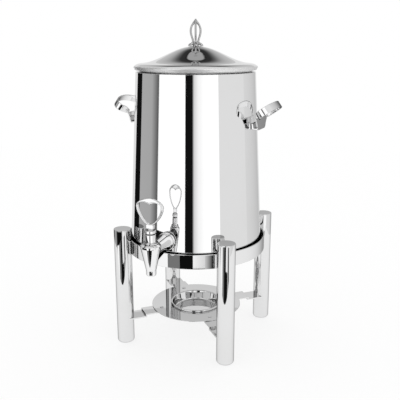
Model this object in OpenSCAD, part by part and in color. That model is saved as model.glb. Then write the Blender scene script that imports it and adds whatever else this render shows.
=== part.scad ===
// Tapered coffee urn on a ring stand with four pillar legs and a fuel cup.
// The urn lifts out of the ring, its lid lifts off, and a quarter-turn plug
// valve with a heart-shaped key pours from the front. Millimetres, +Z up,
// the tap looks along -Y, and the counter is at Z = 0.

/* [Urn body] */
// Outside radius of the body at its foot
body_foot_r = 142.6; // [138:0.1:146]
// Outside radius of the body at its shoulder
body_top_r = 123.1; // [118:0.1:128]
// Height of the body from its foot to its shoulder
body_h = 372; // [340:0.5:400]
// Distance that the shoulder turns in
shoulder_in = 7.1; // [5:0.1:9]
// Height of the rounded shoulder
shoulder_rise = 1.5; // [1.3:0.1:5]
// Sheet thickness of the body
wall_t = 1.2; // [0.8:0.1:2]
// Width of the lip turned in under the base pan
foot_lip_w = 7; // [4:0.5:12]
// Height of the base pan's turned-up flange
base_flange_h = 9; // [5:0.5:16]
// Depth of the shallow dish pressed into the base pan
base_dish = 1.4; // [0.6:0.1:1.8]
// Depth of the neck ring that guides the lid
neck_h = 13; // [9:0.5:18]

/* [Lid] */
// Distance that the lid's nose stands out past the body's shoulder
nose_out = 3.4; // [1:0.1:6]
// Height of the nose above the lid's seat
nose_h = 7.1; // [5:0.1:10]
// Height of the brim above the nose
brim_rise = 7.8; // [6:0.1:10]
// Width of the brim, which falls away towards the nose
brim_w = 17; // [12:0.5:20]
// Slope of the lid where the dome meets the brim
brim_slope = 5; // [2:0.5:8]
// Slope of the brim where it meets the nose
edge_slope = 38; // [32:1:42]
// Height of the dome above the nose
dome_h = 41.4; // [36:0.1:48]
// Sheet thickness of the lid
lid_t = 1; // [0.8:0.1:1.6]
// Distance that the lip under the nose turns in
lip_in = 2.2; // [1.5:0.1:4]
// Height of that lip above the body's shoulder
lip_rise = 1; // [0.5:0.1:2]
// Depth of the skirt below the lid's seat
skirt_h = 11; // [7:0.5:12]
// Radial play between the skirt and the neck
skirt_play = 0.5; // [0.3:0.1:1]

/* [Finial] */
// Height of the finial
finial_h = 52.8; // [48:0.2:60]
// Width of the cage at its widest
cage_w = 24; // [20:0.5:28]
// Width over the splayed feet
petal_w = 31; // [27:0.5:34]
// Width of the finial's waist
waist_w = 15; // [13:0.5:18]
// Width of each splayed foot
leaf_w = 7; // [5:0.5:9]
// Thickness of each rib
rib_t = 4.2; // [3.5:0.1:5]
// Turn of the finial about the lid
finial_turn = 24; // [0:1:89]

/* [Side handles] */
// Distance from the body to the bracket plate
handle_gap = 13; // [9:0.5:16]
// Height of the loop's root above the body's foot
handle_up = 286.5; // [240:0.5:320]
// Width of the bracket at its top
bracket_w = 72; // [60:1:80]
// Width of the bracket at its bottom
bracket_foot_w = 52; // [40:1:60]
// Height of the bracket
bracket_h = 24; // [18:0.5:30]
// Radius of the bracket's bottom corners
bracket_round = 9; // [5:0.5:11]
// Thickness of the bracket and of the strap
strap_t = 2.6; // [2:0.1:3.5]
// Width of the strap
strap_w = 14.5; // [12:0.5:18]
// Widest part of the loop
loop_w = 95; // [86:1:102]
// Distance between the strap's two roots
loop_root_w = 50; // [44:1:54]
// Reach of the loop, along its own slope
loop_reach = 41.5; // [38:0.5:50]
// Slope of the loop above level
loop_slope = 36; // [25:1:45]

/* [Tap] */
// Distance from the urn's centre line to the tap's spindle
tap_reach = 208.7; // [200:0.1:220]
// Height of the tap's shank above the body's foot
tap_up = 50.5; // [48:0.5:60]
// Radius of the spout's outlet bore
outlet_r = 6.5; // [5:0.1:7]
// Outside radius of the spout's tip
spout_tip_r = 9.6; // [9:0.1:11]
// Outside radius of the housing's top
housing_r = 19.6; // [18:0.1:21]
// Height of the straight tip of the spout
spout_tip_h = 10; // [6:0.5:14]
// Drop from the shank's centre to the outlet
outlet_drop = 47; // [42:0.5:50]
// Radius of the valve plug
plug_r = 10; // [9:0.1:11]
// Radius of the port through the plug and the shank
port_r = 5.5; // [4.5:0.1:6]
// Radial running clearance of the plug and its stem
running_clearance = 0.05; // [0.02:0.01:0.09]
// Radius of the plug's stem
stem_r = 5; // [4.5:0.1:5.5]
// Outside radius of the bonnet's neck
bonnet_neck_r = 10.5; // [9:0.1:12]
// Height of the bonnet's neck
bonnet_neck_h = 16; // [13:0.5:20]
// Outside radius of the shank beside the housing
shank_r = 14.5; // [13:0.1:15.5]
// Outside radius of the shank at its flange
shank_flare_r = 17; // [15:0.1:18]
// Outside radius of the flange against the body
flange_r = 18.5; // [17:0.1:20]
// Thickness of the flange
flange_t = 5; // [3:0.1:7]
// Radius of the threaded tail
tail_r = 8.5; // [7.5:0.1:9]
// Width across the flats of the lock nut
lock_nut_af = 26; // [22:0.5:28]
// Thickness of the lock nut
lock_nut_t = 6; // [4:0.5:8]
// Least thickness of the two tap seals
seal_t = 1.2; // [1:0.1:2]
// Width of the heart-shaped key
heart_w = 57; // [50:1:64]
// Height of the heart-shaped key
heart_h = 53; // [46:1:60]
// Width of the key's band
heart_band = 5; // [4.5:0.1:7]
// Depth of the key's band at the notch
notch_depth = 13; // [10:0.5:15]
// Thickness of the key, front to back
heart_t = 7; // [6:0.5:9]

/* [Stand] */
// Height of the underside of the ring
ring_z = 201; // [190:0.5:215]
// Height of the ring
ring_h = 30; // [26:0.5:34]
// Sheet thickness of the ring
ring_t = 2.4; // [2:0.1:3]
// Gap between the ring and the body's foot
ring_gap = 4.4; // [4:0.1:6]
// Distance that the ledge reaches in under the body's foot
ledge_in = 8; // [6:0.5:12]
// Thickness of the ledge
ledge_t = 2.5; // [2:0.1:4]
// Radius of a leg
leg_r = 18.25; // [17:0.25:20]
// Height of the top of a leg
leg_top = 257.5; // [250:0.5:266]
// Wall thickness of a leg
leg_wall = 1.5; // [1.2:0.1:2.5]
// Depth of the saddle where the ring sits into a leg
leg_bite = 2.65; // [2:0.05:3.5]
// Radius of the rounded bottom edge of a leg
leg_round = 5.5; // [4:0.5:7]
// Thickness of a leg's cap
cap_t = 2; // [1.5:0.1:3]
// Thickness of a foot pad
pad_t = 0.6; // [0.4:0.1:2]
// Radius of a foot pad
pad_r = 11.5; // [9:0.5:12]

/* [Fuel holder] */
// Radius of the fuel disc
disc_r = 99.4; // [94:0.2:105]
// Height of the top of the disc
disc_top = 63.9; // [60:0.1:80]
// Sheet thickness of the disc
disc_t = 1.5; // [1:0.1:2]
// Outside radius of the cup's rolled rim
cup_rim_r = 57; // [54:0.5:60]
// Radius of the roll on the cup's rim
cup_bead_r = 2.2; // [1.8:0.1:3]
// Outside radius of the cup's floor
cup_floor_r = 49.5; // [46:0.5:50]
// Depth of the cup below the disc
cup_depth = 17; // [12:0.5:20]
// Sheet thickness of the cup
cup_t = 1.2; // [0.8:0.1:1.6]
// Width of a brace arm
arm_w = 36; // [30:0.5:40]
// Thickness of a brace arm
arm_t = 3; // [2.5:0.1:4]
// Step down along a brace arm
arm_step = 4.5; // [4:0.1:6]
// Distance from the centre line to that step
arm_step_at = 124; // [115:1:130]
// Distance from the centre line to a disc rivet
rivet_at = 82; // [74:1:88]

/* [Hidden] */
$fn = 96;

// Overrun of every cut past the faces it opens
over = 1;
// Clearance of pieces that are fitted together and stay put
fit_gap = 0.05;
// Clearance of the seals from the curved wall that they lie against
curve_gap = 0.2;
// Clearance of a screw or rivet in its hole
screw_gap = 0.25;
// Points along one quarter of a rounded edge
round_steps = 6;
// Points along one curve of an outline
curve_steps = 14;

// Colours of the polished steel, the satin steel, the seals and the foot pads
steel_colour = [0.80, 0.80, 0.81];
satin_colour = [0.62, 0.62, 0.63];
rubber_colour = [0.08, 0.08, 0.08];
pad_colour = [0.78, 0.78, 0.76];

// Stand: the ring, the ledge and the legs that the ring sits into
ring_in_r = body_foot_r + ring_gap;
ring_out_r = ring_in_r + ring_t;
ledge_in_r = body_foot_r - ledge_in;
foot_z = ring_z + ledge_t;
ring_mid_z = ring_z + ring_h / 2;
leg_at = ring_out_r + leg_r - leg_bite;
leg_in_r = leg_r - leg_wall;
leg_turns = [-135, -45, 135, 45];
cap_round = 0.8;
cap_plug_h = 8;
insert_h = 24;
ring_screw_r = 2.4;
ring_screw_head_r = 4.5;
ring_screw_head_t = 2.2;
ring_screw_reach = 16;
ring_screw_seat = sqrt(pow(ring_in_r, 2) - pow(ring_screw_head_r, 2));

// Body: the wall is a plain cone up to the shoulder
shoulder_z = foot_z + body_h;
body_slope = (body_foot_r - body_top_r) / body_h;
rim_r = body_top_r - shoulder_in;
seat_under = shoulder_z + shoulder_rise;
seat_z = seat_under + wall_t;
function body_r(z) = body_foot_r - body_slope * (z - foot_z);

// Lid and neck: the skirt drops into the neck with play all round
hem_out_r = rim_r - fit_gap;
hem_w = 3;
hem_in_r = hem_out_r - hem_w;
skirt_out_r = hem_in_r - lid_t;
neck_in_r = skirt_out_r + skirt_play;
neck_out_r = neck_in_r + wall_t;
nose_z = seat_z + nose_h;
nose_r = body_top_r + nose_out;
brim_in_r = nose_r - brim_w;
dome_z = nose_z + dome_h;
brim_z = nose_z + brim_rise;
lip_z = seat_z + lid_t + lip_rise;
edge_in_share = 0.7;
edge_up_share = 2.2;
edge_r = nose_r - lid_t * edge_in_share;
edge_z = nose_z + lid_t * edge_up_share;
brim_step_share = 0.36;
brim_step = (edge_r - brim_in_r) * brim_step_share;
dome_run_share = 0.39;
brim_run_share = 0.35;
finial_hole_r = 2.75;
finial_screw_r = 2.5;
finial_hub_r = 6;
finial_hole_share = 0.75;
// Levels where the cage's curves turn, as shares of the finial's height
cage_level_shares = [0.16, 0.27, 0.38, 0.56, 0.78];
leaf_top_share = 0.1;
leaf_curl_share = 1.1;
screw_head_t = 2.5;
screw_head_r = 4.8;
screw_end_gap = 1;
washer_t = 1;
washer_r = 7;

// Front-to-back place of the urn's centre line, which centres the whole object
axis_y = (tap_reach + housing_r - ring_out_r) / 2;

// Tap heights and the faces that the seals fill
tap_z = foot_z + tap_up;
outlet_z = tap_z - outlet_drop;
cone_z = outlet_z + spout_tip_h;
o_ring_r = 1;
seal_land = 4.5;
gland_r = 12;
gland_h = 6;
gland_flange_w = 3;
gland_flange_t = 2;
belt_h = 4;
cavity_top_z = tap_z + port_r + seal_land;
housing_top_z = cavity_top_z + gland_h;
belt_z = housing_top_z - gland_flange_w - belt_h;
gasket_t = 1;
bonnet_z = housing_top_z + gasket_t;
bonnet_top_z = bonnet_z + gland_flange_t + bonnet_neck_h;
plug_top_gap = 0.3;
plug_foot_z = tap_z - port_r - plug_r;
hub_gap = 2.5;
hub_r = 11;
hub_h = 5.5;
hub_z = bonnet_top_z + hub_gap;
key_waist_r = 5.5;
key_waist_h = 2;
key_block_w = 16;
key_block_h = 6.5;
key_block_z = hub_z + hub_h + key_waist_h;
key_z = key_block_z + key_block_h;
web_drop = 20;
web_r = 9;
web_root_share = 0.93;
key_pin_r = 1.2;

// Key outline: where its curves turn, as shares of its half width and height
key_foot_w_share = 0.42;
key_foot_h_share = 0.02;
hole_foot_share = 0.6;
key_side_share = 0.42;
key_shoulder_share = 0.7;
key_lobe_share = 0.15;
key_bow_share = 0.4;
notch_bow_share = 0.42;
notch_rise_share = 0.12;
flange_lean = flange_r * abs(body_slope);
flange_face = body_r(tap_z) + flange_lean + seal_t;
inner_face = sqrt(pow(body_r(tap_z) - wall_t - flange_lean, 2) - pow(flange_r, 2)) - seal_t;
tail_end = inner_face - lock_nut_t - tail_r / 2;
o_ring_levels = [(plug_foot_z + tap_z - port_r) / 2, (cavity_top_z + tap_z + port_r) / 2];

// Side handles, whose root line is the top of the bracket
handle_z = foot_z + handle_up;
bracket_in_r = body_r(handle_z - bracket_h) + handle_gap;
bracket_out_r = bracket_in_r + strap_t;
bracket_tab_w = bracket_foot_w - 2 * bracket_round;
loop_turn = acos(loop_root_w / loop_w);
loop_centre = loop_reach * sin(loop_turn) / (1 + sin(loop_turn));

// Fuel cup and brace arms
disc_under = disc_top - disc_t;
cup_seat_r = cup_rim_r - cup_bead_r;
cup_throat_r = cup_seat_r - cup_bead_r;
cup_floor_z = disc_top - cup_depth;
cup_round = 5;
arm_in_r = cup_rim_r + arm_t;
rivet_r = 2.5;
rivet_head_r = 4;
rivet_head_t = 0.8;

// One point of a cubic curve through a to d
function bezier(a, b, c, d, t) =
    a * pow(1 - t, 3) + 3 * b * t * pow(1 - t, 2) + 3 * c * t * t * (1 - t) + d * pow(t, 3);
function curve(a, b, c, d, from = 0) = [for (i = [from : curve_steps]) bezier(a, b, c, d, i / curve_steps)];
// A rounded corner: part of an ellipse about its centre
function arc(centre, rx, rz, a0, a1) = [
    for (i = [0 : round_steps])
        let (a = a0 + (a1 - a0) * i / round_steps)
        centre + [rx * cos(a), rz * sin(a)]
];
function reversed(p) = [for (i = [len(p) - 1 : -1 : 0]) p[i]];
// The same path moved a distance t to its right-hand side
function beside(p, t) = [
    for (i = [0 : len(p) - 1])
        let (a = p[max(i - 1, 0)], b = p[min(i + 1, len(p) - 1)], d = b - a, n = norm(d))
        p[i] + t * [d[1] / n, -d[0] / n]
];

// Everything stands about the urn's centre line and is moved once
module placed() {
    translate([0, axis_y, 0]) children();
}

module at_legs(turns = leg_turns) {
    for (a = turns) rotate([0, 0, a]) translate([leg_at, 0, 0]) children();
}

// A short rod that points away from the centre line, along +X
module radial_rod(r, from, to, z = 0) {
    translate([from, 0, z]) rotate([0, 90, 0]) cylinder(r = r, h = to - from);
}

// The same along -Y, the way that the tap looks
module front_rod(r, from, to) {
    translate([0, 0, tap_z]) rotate([90, 0, 0]) translate([0, 0, from]) cylinder(r = r, h = to - from);
}

// The solid cone inside a given offset from the body's outer face
module body_cone(offset_r = 0, $fn = 360) {
    translate([0, 0, foot_z - over])
        cylinder(r1 = body_r(foot_z - over) + offset_r, r2 = body_top_r + offset_r, h = body_h + over);
}

// Stand
module leg_tube() {
    outer = concat(
        [[0, pad_t]],
        arc([leg_r - leg_round, pad_t + leg_round], leg_round, leg_round, -90, 0),
        [[leg_r, leg_top - cap_t]]
    );
    inner_round = leg_round - leg_wall;
    inner = concat(
        [[0, pad_t + leg_wall]],
        arc([leg_r - leg_round, pad_t + leg_round], inner_round, inner_round, -90, 0),
        [[leg_in_r, leg_top - cap_t]]
    );
    rotate_extrude() polygon(concat(outer, reversed(inner)));
}

module leg(turn) {
    color(steel_colour) placed() difference() {
        at_legs([turn]) leg_tube();
        translate([0, 0, ring_z]) cylinder(r = ring_out_r, h = ring_h);
    }
}

module leg_front_left() { leg(leg_turns[0]); }
module leg_front_right() { leg(leg_turns[1]); }
module leg_rear_left() { leg(leg_turns[2]); }
module leg_rear_right() { leg(leg_turns[3]); }

module leg_caps() {
    plug_rad = leg_in_r - fit_gap;
    color(steel_colour) placed() at_legs() translate([0, 0, leg_top - cap_t]) rotate_extrude()
        polygon(concat(
            [[0, -cap_plug_h], [plug_rad, -cap_plug_h], [plug_rad, 0], [leg_r, 0]],
            arc([leg_r - cap_round, cap_t - cap_round], cap_round, cap_round, 0, 90),
            [[0, cap_t]]
        ));
}

module leg_inserts() {
    color(satin_colour) placed() difference() {
        at_legs() translate([0, 0, ring_mid_z - insert_h / 2])
            cylinder(r = leg_in_r - fit_gap, h = insert_h);
        translate([0, 0, ring_z]) cylinder(r = ring_out_r, h = ring_h);
        for (a = leg_turns) rotate([0, 0, a])
            radial_rod(ring_screw_r + fit_gap, ring_in_r, ring_in_r + ring_screw_reach + over, ring_mid_z);
    }
}

module leg_feet() {
    color(pad_colour) placed() at_legs() cylinder(r = pad_r, h = pad_t);
}

module stand_ring() {
    color(steel_colour) placed() difference() {
        translate([0, 0, ring_z]) rotate_extrude() polygon([
            [ledge_in_r, 0], [ring_out_r, 0], [ring_out_r, ring_h],
            [ring_in_r, ring_h], [ring_in_r, ledge_t], [ledge_in_r, ledge_t]
        ]);
        for (a = leg_turns) rotate([0, 0, a])
            radial_rod(ring_screw_r + screw_gap, ring_in_r - over, ring_out_r + over, ring_mid_z);
    }
}

module ring_screws() {
    color(satin_colour) placed() for (a = leg_turns) rotate([0, 0, a]) {
        radial_rod(ring_screw_r, ring_screw_seat, ring_in_r + ring_screw_reach, ring_mid_z);
        radial_rod(ring_screw_head_r, ring_screw_seat - ring_screw_head_t, ring_screw_seat, ring_mid_z);
    }
}

module brace_arm(turn) {
    top = disc_under;
    low = top - arm_step;
    color(steel_colour) placed() difference() {
        rotate([0, 0, turn]) rotate([90, 0, 0]) translate([0, 0, -arm_w / 2]) linear_extrude(arm_w)
            polygon([
                [arm_in_r, top], [arm_in_r, top - arm_t],
                [arm_step_at - arm_t, top - arm_t], [arm_step_at - arm_t, low - arm_t],
                [leg_at, low - arm_t], [leg_at, low],
                [arm_step_at, low], [arm_step_at, top]
            ]);
        at_legs([turn]) cylinder(r = leg_r, h = leg_top);
        rotate([0, 0, turn]) translate([rivet_at, 0, 0])
            cylinder(r = rivet_r + screw_gap, h = disc_top + over);
    }
}

module brace_arm_front_left() { brace_arm(leg_turns[0]); }
module brace_arm_front_right() { brace_arm(leg_turns[1]); }
module brace_arm_rear_left() { brace_arm(leg_turns[2]); }
module brace_arm_rear_right() { brace_arm(leg_turns[3]); }

module fuel_disc() {
    color(steel_colour) placed() difference() {
        translate([0, 0, disc_under]) cylinder(r = disc_r, h = disc_t, $fn = 128);
        cylinder(r = cup_throat_r + cup_t, h = disc_top + over);
        for (a = leg_turns) rotate([0, 0, a]) translate([rivet_at, 0, 0])
            cylinder(r = rivet_r + screw_gap, h = disc_top + over);
    }
}

module fuel_cup() {
    bead_z = disc_top + cup_bead_r;
    color(steel_colour) placed() rotate_extrude() {
        polygon(concat(
            [[0, cup_floor_z]],
            arc([cup_floor_r - cup_round, cup_floor_z + cup_round], cup_round, cup_round, -90, 0),
            [[cup_throat_r + cup_t - fit_gap, disc_top], [cup_seat_r, disc_top],
             [cup_seat_r, bead_z], [cup_throat_r, bead_z]],
            reversed(arc([cup_floor_r - cup_round, cup_floor_z + cup_round],
                cup_round - cup_t, cup_round - cup_t, -90, 0)),
            [[0, cup_floor_z + cup_t]]
        ));
        translate([cup_seat_r, bead_z]) circle(r = cup_bead_r, $fn = 24);
    }
}

module disc_rivets() {
    arm_under = disc_under - arm_t;
    color(satin_colour) placed() for (a = leg_turns) rotate([0, 0, a]) translate([rivet_at, 0, 0]) {
        translate([0, 0, arm_under - rivet_head_t])
            cylinder(r = rivet_r, h = disc_top + rivet_head_t - arm_under + rivet_head_t);
        translate([0, 0, disc_top]) cylinder(r = rivet_head_r, h = rivet_head_t);
        translate([0, 0, arm_under - rivet_head_t]) cylinder(r = rivet_head_r, h = rivet_head_t);
    }
}

// Urn
module urn_wall() {
    shoulder = [body_top_r - shoulder_in, shoulder_z];
    color(steel_colour) placed() difference() {
        rotate_extrude($fn = 128) polygon(concat(
            [[body_foot_r - foot_lip_w, foot_z], [body_foot_r, foot_z]],
            arc(shoulder, shoulder_in, shoulder_rise, 0, 90),
            [[neck_out_r + fit_gap, seat_under], [neck_out_r + fit_gap, seat_under - wall_t]],
            reversed(arc(shoulder, shoulder_in - wall_t, shoulder_rise - wall_t, 0, 90)),
            [[body_r(foot_z + wall_t) - wall_t, foot_z + wall_t],
             [body_foot_r - foot_lip_w, foot_z + wall_t]]
        ));
        front_rod(tail_r + screw_gap, inner_face, flange_face);
    }
}

module urn_base() {
    floor_z = foot_z + wall_t;
    edge = fit_gap + wall_t;
    color(satin_colour) placed() rotate_extrude($fn = 128) polygon([
        [0, floor_z - base_dish + wall_t / 2],
        [body_foot_r - foot_lip_w * 3, floor_z - base_dish + wall_t / 2],
        [body_foot_r - foot_lip_w * 2, floor_z], [body_r(floor_z) - edge, floor_z],
        [body_r(floor_z + base_flange_h) - edge, floor_z + base_flange_h],
        [body_r(floor_z + base_flange_h) - edge - wall_t, floor_z + base_flange_h],
        [body_r(floor_z + wall_t) - edge - wall_t, floor_z + wall_t],
        [body_foot_r - foot_lip_w * 2, floor_z + wall_t],
        [body_foot_r - foot_lip_w * 3, floor_z - base_dish + wall_t * 3 / 2],
        [0, floor_z - base_dish + wall_t * 3 / 2]
    ]);
}

module urn_neck_ring() {
    color(steel_colour) placed() rotate_extrude($fn = 128) polygon([
        [neck_in_r, seat_z - neck_h], [neck_out_r, seat_z - neck_h], [neck_out_r, seat_under],
        [rim_r, seat_under], [rim_r, seat_z], [neck_in_r, seat_z]
    ]);
}

// Side handles: drawn on the +X side and turned to the other
module handle_side(side) {
    placed() rotate([0, 0, side < 0 ? 180 : 0]) children();
}

module bracket_outline() {
    half_top = bracket_w / 2;
    half_foot = bracket_foot_w / 2;
    corner = half_foot - bracket_round;
    polygon(concat(
        [[half_top, 0], [-half_top, 0]],
        arc([-corner, bracket_round - bracket_h], bracket_round, bracket_round, 180, 270),
        arc([corner, bracket_round - bracket_h], bracket_round, bracket_round, 270, 360)
    ));
}

// A plate that stands off the body, its foot turned in and then up against the wall
module handle_bracket(side) {
    foot = handle_z - bracket_h;
    inside_r = body_r(handle_z) - handle_gap;
    color(steel_colour) handle_side(side) difference() {
        union() {
            translate([bracket_in_r, 0, handle_z]) rotate([90, 0, 90])
                linear_extrude(strap_t) bracket_outline();
            translate([inside_r, -bracket_tab_w / 2, foot])
                cube([bracket_out_r - strap_t / 2 - inside_r, bracket_tab_w, strap_t]);
            translate([inside_r, -bracket_tab_w / 2, foot])
                cube([bracket_in_r - handle_gap + strap_t - inside_r, bracket_tab_w, bracket_h / 2]);
        }
        body_cone();
    }
}

module handle_bracket_left() { handle_bracket(-1); }
module handle_bracket_right() { handle_bracket(1); }

// The loop is a flat strap bent to part of an ellipse on a rising slope
module handle_loop(side) {
    rx = loop_w / 2;
    rz = loop_reach - loop_centre;
    turns = [for (i = [0 : 2 * curve_steps]) -loop_turn + (180 + 2 * loop_turn) * i / (2 * curve_steps)];
    outer = [for (a = turns) [loop_centre + rz * sin(a), rx * cos(a)]];
    inner = [for (a = turns) [loop_centre + (rz - strap_t) * sin(a), (rx - strap_t) * cos(a)]];
    color(steel_colour) handle_side(side) intersection() {
        translate([bracket_out_r - strap_t / 2, 0, handle_z + strap_t]) rotate([0, -loop_slope, 0])
            translate([0, 0, -strap_w / 2]) linear_extrude(strap_w) polygon(concat(outer, reversed(inner)));
        translate([bracket_out_r, -loop_w, handle_z - bracket_h]) cube([loop_w, 2 * loop_w, 2 * loop_w]);
    }
}

module handle_loop_left() { handle_loop(-1); }
module handle_loop_right() { handle_loop(1); }

// Tap
module tap_frame() {
    placed() translate([0, -tap_reach, 0]) children();
}

// The underside of the shank, which drops to meet the spout
module shank_web(from) {
    run = tap_reach - from;
    translate([0, -from, tap_z]) rotate([90 + atan(web_drop / run), 0, 0])
        cylinder(r1 = shank_r * web_root_share, r2 = web_r, h = norm([run, web_drop]));
}

module tap_body() {
    waist = flange_face + flange_t;
    color(steel_colour) difference() {
        union() {
            tap_frame() rotate_extrude() polygon([
                [0, outlet_z], [spout_tip_r, outlet_z], [spout_tip_r, cone_z],
                [housing_r, belt_z], [housing_r, belt_z + belt_h],
                [gland_r + gland_flange_w, housing_top_z], [0, housing_top_z]
            ]);
            placed() translate([0, 0, tap_z]) rotate([90, 0, 0]) rotate_extrude() polygon(concat(
                [[0, tail_end], [tail_r, tail_end], [tail_r, waist]],
                curve([shank_flare_r, waist], [shank_flare_r, waist + shank_r],
                    [shank_r, waist + shank_r], [shank_r, tap_reach - plug_r]),
                [[0, tap_reach - plug_r]]
            ));
            placed() shank_web(waist + shank_r);
        }
        tap_frame() {
            translate([0, 0, outlet_z - over]) cylinder(r = outlet_r, h = plug_foot_z - outlet_z + 2 * over);
            translate([0, 0, plug_foot_z]) cylinder(r = plug_r + running_clearance, h = housing_top_z);
            translate([0, 0, cavity_top_z]) cylinder(r = gland_r + fit_gap, h = gland_h + over);
        }
        placed() front_rod(port_r, tail_end - over, tap_reach);
    }
}

module tap_flange() {
    color(steel_colour) placed() difference() {
        front_rod(flange_r, flange_face, flange_face + flange_t);
        front_rod(tail_r + fit_gap, flange_face - over, flange_face + flange_t + over);
    }
}

module tap_outer_seal() {
    color(rubber_colour) placed() difference() {
        front_rod(flange_r - seal_t, inner_face, flange_face);
        front_rod(tail_r + fit_gap, 0, tap_reach);
        body_cone(curve_gap);
    }
}

module tap_inner_seal() {
    color(rubber_colour) placed() difference() {
        intersection() {
            front_rod(flange_r - seal_t, inner_face, flange_face);
            body_cone(-wall_t - curve_gap);
        }
        front_rod(tail_r + fit_gap, 0, tap_reach);
    }
}

module tap_lock_nut() {
    color(satin_colour) placed() difference() {
        translate([0, 0, tap_z]) rotate([90, 0, 0]) translate([0, 0, inner_face - lock_nut_t])
            cylinder(d = lock_nut_af / cos(30), h = lock_nut_t, $fn = 6);
        front_rod(tail_r + fit_gap, 0, tap_reach);
    }
}

module tap_bonnet() {
    bore = stem_r + running_clearance;
    flange = gland_r + gland_flange_w;
    neck_z = bonnet_z + gland_flange_t;
    color(steel_colour) tap_frame() rotate_extrude() polygon([
        [bore, cavity_top_z], [gland_r, cavity_top_z], [gland_r, bonnet_z], [flange, bonnet_z],
        [flange, neck_z], [bonnet_neck_r, neck_z], [bonnet_neck_r, bonnet_top_z], [bore, bonnet_top_z]
    ]);
}

module bonnet_gasket() {
    color(rubber_colour) tap_frame() translate([0, 0, housing_top_z]) difference() {
        cylinder(r = gland_r + gland_flange_w, h = gasket_t);
        translate([0, 0, -over]) cylinder(r = gland_r + fit_gap, h = gasket_t + 2 * over);
    }
}

// At rest the port looks sideways, so the valve is shut
module tap_plug() {
    top = cavity_top_z - plug_top_gap;
    color(satin_colour) tap_frame() difference() {
        union() {
            translate([0, 0, plug_foot_z + plug_top_gap])
                cylinder(r = plug_r, h = top - plug_foot_z - plug_top_gap);
            translate([0, 0, top - over]) cylinder(r = stem_r, h = hub_z + hub_h * 2 / 3 - top + over);
        }
        translate([0, 0, plug_foot_z]) cylinder(r = port_r, h = tap_z - plug_foot_z);
        translate([0, 0, tap_z]) rotate([0, 90, 0]) cylinder(r = port_r, h = plug_r + over);
        for (z = o_ring_levels) translate([0, 0, z]) rotate_extrude()
            translate([plug_r - o_ring_r, 0]) circle(r = o_ring_r + fit_gap, $fn = 24);
        for (z = o_ring_levels) translate([0, 0, z - o_ring_r / 2]) difference() {
            cylinder(r = plug_r + over, h = o_ring_r);
            translate([0, 0, -over]) cylinder(r = plug_r - o_ring_r, h = o_ring_r + 2 * over);
        }
        translate([0, hub_r + over, hub_z + hub_h / 3]) rotate([90, 0, 0])
            cylinder(r = key_pin_r + fit_gap, h = 2 * (hub_r + over));
    }
}

module plug_o_rings() {
    color(rubber_colour) tap_frame() for (z = o_ring_levels) translate([0, 0, z]) rotate_extrude()
        translate([plug_r - o_ring_r, 0]) circle(r = o_ring_r, $fn = 24);
}

// Right half of the key's outline, and of the hole, from the foot to the top
function key_half(w, foot, top, shoulder, sag, rise = 0) = concat(
    curve([0, foot], [w * key_foot_w_share, foot + heart_h * key_foot_h_share],
        [w, heart_h * key_side_share], [w, shoulder]),
    curve([w, shoulder], [w, shoulder + heart_h * key_lobe_share], [w * sag, top + rise], [0, top], 1)
);
function mirrored(half) = concat(half, [for (i = [len(half) - 2 : -1 : 1]) [-half[i][0], half[i][1]]]);

module tap_key() {
    shoulder = heart_h * key_shoulder_share;
    color(steel_colour) tap_frame() difference() {
        union() {
            translate([0, 0, hub_z]) cylinder(r = hub_r, h = hub_h);
            translate([0, 0, hub_z + hub_h - over]) cylinder(r = key_waist_r, h = key_waist_h + 2 * over);
            translate([-key_block_w / 2, -heart_t / 2, key_block_z])
                cube([key_block_w, heart_t, key_block_h + heart_band / 2]);
            translate([0, heart_t / 2, key_z]) rotate([90, 0, 0]) linear_extrude(heart_t) difference() {
                polygon(mirrored(key_half(heart_w / 2, 0, heart_h, shoulder, key_bow_share)));
                polygon(mirrored(key_half(heart_w / 2 - heart_band, heart_band * hole_foot_share,
                    heart_h - notch_depth, shoulder, notch_bow_share, heart_h * notch_rise_share)));
            }
        }
        translate([0, 0, hub_z - over]) cylinder(r = stem_r + fit_gap, h = hub_h * 2 / 3 + over);
        translate([0, hub_r + over, hub_z + hub_h / 3]) rotate([90, 0, 0])
            cylinder(r = key_pin_r + fit_gap, h = 2 * (hub_r + over));
    }
}

module key_pin() {
    color(satin_colour) tap_frame() translate([0, hub_r - fit_gap, hub_z + hub_h / 3]) rotate([90, 0, 0])
        cylinder(r = key_pin_r, h = 2 * (hub_r - fit_gap));
}

// Lid: an ogee dome, a brim that falls to a thin nose, a lip, and a hem that lies on the neck ring
lid_path = concat(
    [[finial_hole_r, dome_z], [washer_r + lid_t, dome_z]],
    curve([0, dome_z], [brim_in_r * dome_run_share, dome_z],
        [brim_in_r * (1 - brim_run_share), brim_z + brim_in_r * brim_run_share * tan(brim_slope)],
        [brim_in_r, brim_z], 1),
    curve([brim_in_r, brim_z], [brim_in_r + brim_step, brim_z - brim_step * tan(brim_slope)],
        [edge_r - brim_step, edge_z + brim_step * tan(edge_slope)], [edge_r, edge_z], 1),
    [[nose_r, nose_z + lid_t], [nose_r, nose_z],
     [nose_r - lip_in, lip_z], [hem_out_r, seat_z + lid_t]]
);

module lid_shell() {
    inside = beside(lid_path, lid_t);
    color(steel_colour) placed() rotate_extrude($fn = 128) polygon(concat(
        lid_path,
        [[hem_out_r, seat_z], [hem_in_r, seat_z], [hem_in_r, seat_z + lid_t],
         [hem_out_r - lid_t, seat_z + lid_t], [hem_out_r - lid_t, seat_z + 2 * lid_t],
         [nose_r - lip_in - lid_t, lip_z + lid_t]],
        [for (i = [len(lid_path) - 3 : -1 : 1]) inside[i]],
        [[finial_hole_r, dome_z - lid_t]]
    ));
}

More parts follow.
